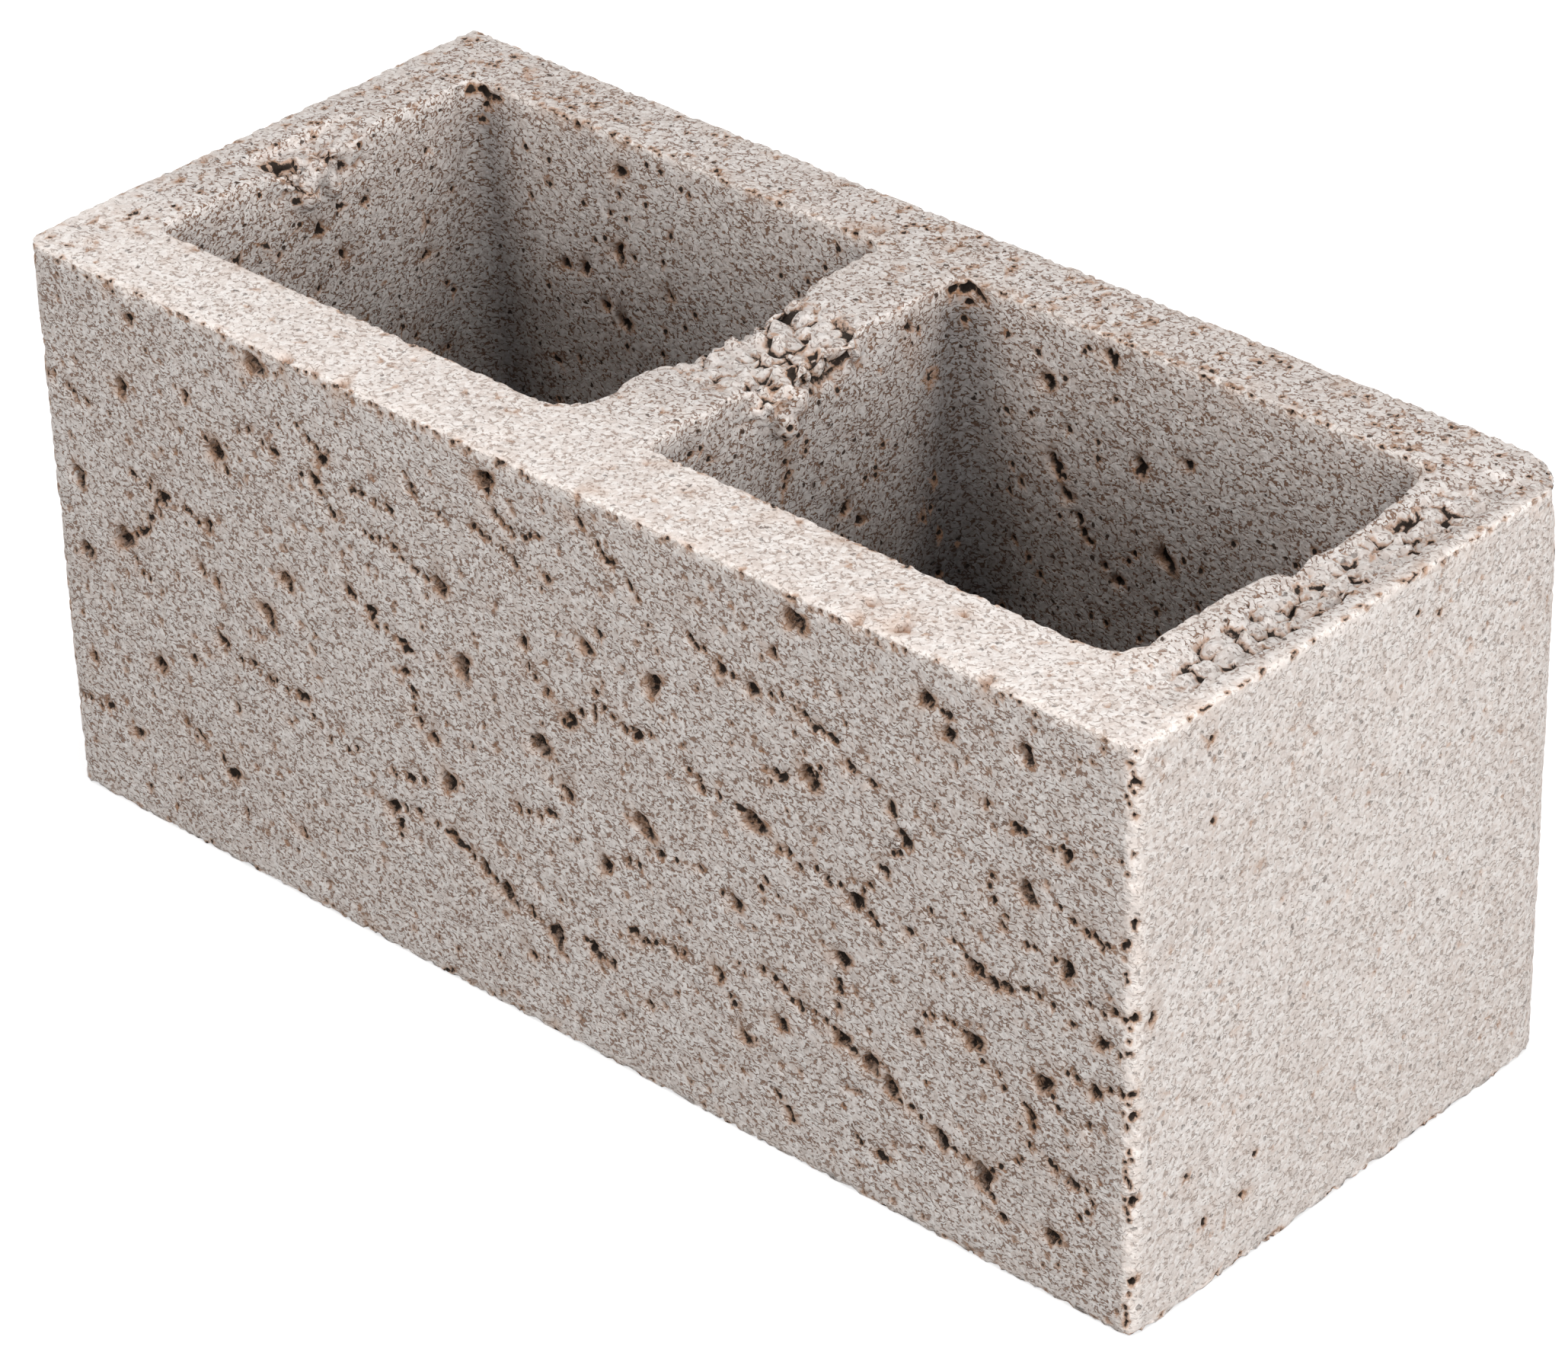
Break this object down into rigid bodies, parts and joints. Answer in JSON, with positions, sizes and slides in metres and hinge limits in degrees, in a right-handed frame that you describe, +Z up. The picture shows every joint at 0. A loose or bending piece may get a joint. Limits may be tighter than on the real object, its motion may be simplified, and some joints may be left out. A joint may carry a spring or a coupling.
{
  "type": "hollow concrete block",
  "caption": "Rectangular concrete masonry block, cast in one piece, with tapered open cells running from top to bottom between its face shells and webs.",
  "frame": {"origin": "centre of the outer box on the underside, on the web between the cells", "axes": "+X along the length towards the near end, +Y from the front face to the back face, +Z up"},
  "size_m": [0.4, 0.175, 0.175],
  "materials": {
    "concrete": "rough cast concrete, warm grey, pitted"
  },
  "bodies": {
    "root": {"block": "concrete"}
  },
  "joints": []
}
